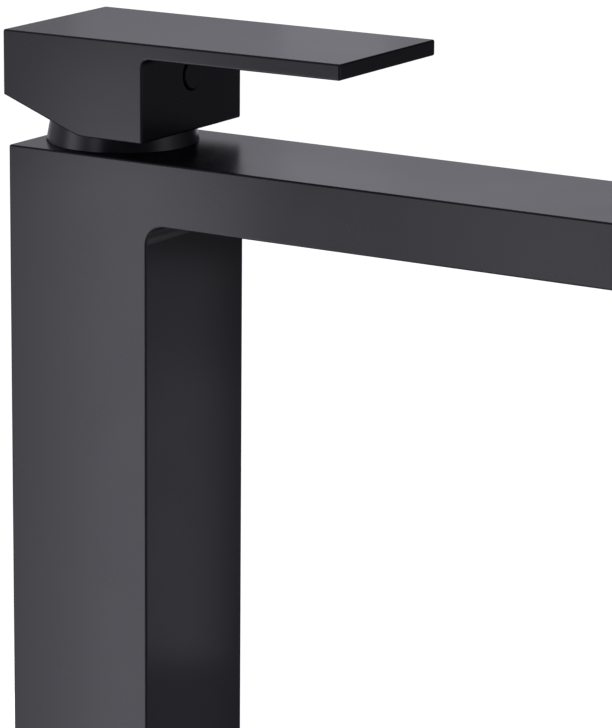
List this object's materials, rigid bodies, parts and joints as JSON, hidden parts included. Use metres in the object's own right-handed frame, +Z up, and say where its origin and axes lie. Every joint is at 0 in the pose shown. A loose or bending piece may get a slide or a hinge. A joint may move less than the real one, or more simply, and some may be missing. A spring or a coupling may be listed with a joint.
{
  "type": "bathroom mixer faucet",
  "caption": "Tall single-lever basin mixer: square column, flat square spout, flat block lever on a conical collar, recessed aerator, ceramic cartridge and stud clamp for a deck.",
  "frame": {"origin": "on the deck under the middle of the column, in the underside of the base gasket", "axes": "+Z up the column, -Y along the spout towards the outlet, +X to the right for somebody who stands in front of the spout"},
  "size_m": [0.0524, 0.212, 0.3724],
  "materials": {
    "black_coat": "satin black powder coat on brass",
    "black_plastic": "satin moulded plastic",
    "plug_plastic": "satin moulded plastic",
    "brass": "machined",
    "copper": "drawn tube",
    "steel": "machined stainless",
    "zinc_steel": "zinc plated",
    "white_plastic": "moulded acetal",
    "insert_plastic": "moulded acetal",
    "ring_plastic": "moulded nylon",
    "ceramic": "lapped ceramic",
    "rubber": "moulded rubber"
  },
  "bodies": {
    "mixer": {"aerator_housing": "black_plastic", "aerator_insert": "insert_plastic", "aerator_jet_plate": "insert_plastic", "aerator_screen": "steel", "aerator_washer": "rubber", "base_block": "brass", "body_shell": "black_coat", "cartridge_base": "white_plastic", "cartridge_housing": "white_plastic", "cartridge_oring": "rubber", "cartridge_seat_seals": "rubber", "cold_riser_tube": "copper", "deck_gasket": "rubber", "deck_studs": "zinc_steel", "disc_seals": "rubber", "dome_collar": "black_coat", "fixed_disc": "ceramic", "hot_riser_tube": "copper", "outlet_socket": "brass", "retaining_nut": "brass", "spout_end_cap": "black_coat", "spout_tube": "copper", "valve_body": "brass"},
    "lever": {"stem": "steel", "lever_handle": "black_coat", "grub_screw": "steel", "index_plug": "plug_plastic"},
    "rotor": {"cartridge_rotor": "white_plastic", "pivot_pin": "steel", "temperature_limit_ring": "ring_plastic"},
    "disc": {"moving_disc": "ceramic", "disc_carrier": "white_plastic"},
    "clamp": {"clamp_pad": "rubber", "clamp_plate": "zinc_steel", "clamp_nuts": "brass"}
  },
  "joints": [
    {"name": "temperature_turn", "type": "hinge", "parent": "mixer", "child": "rotor", "pos_m": [0, 0.0013, 0.272], "axis": [0, 0, 1], "range_deg": [-45, 45]},
    {"name": "flow_lift", "type": "hinge", "parent": "rotor", "child": "lever", "pos_m": [0, 0.0013, 0.272], "axis": [-1, 0, 0], "range_deg": [0, 25]},
    {"name": "disc_slide", "type": "slide", "parent": "rotor", "child": "disc", "axis": [0, -1, 0], "range_m": [0, 0.0041]},
    {"name": "clamp_travel", "type": "slide", "parent": "mixer", "child": "clamp", "axis": [0, 0, 1], "range_m": [-0.028, 0.018]}
  ],
  "couplings": [
    {"joint": "disc_slide", "follows": "flow_lift", "m_per_rad": 0.0089288}
  ]
}
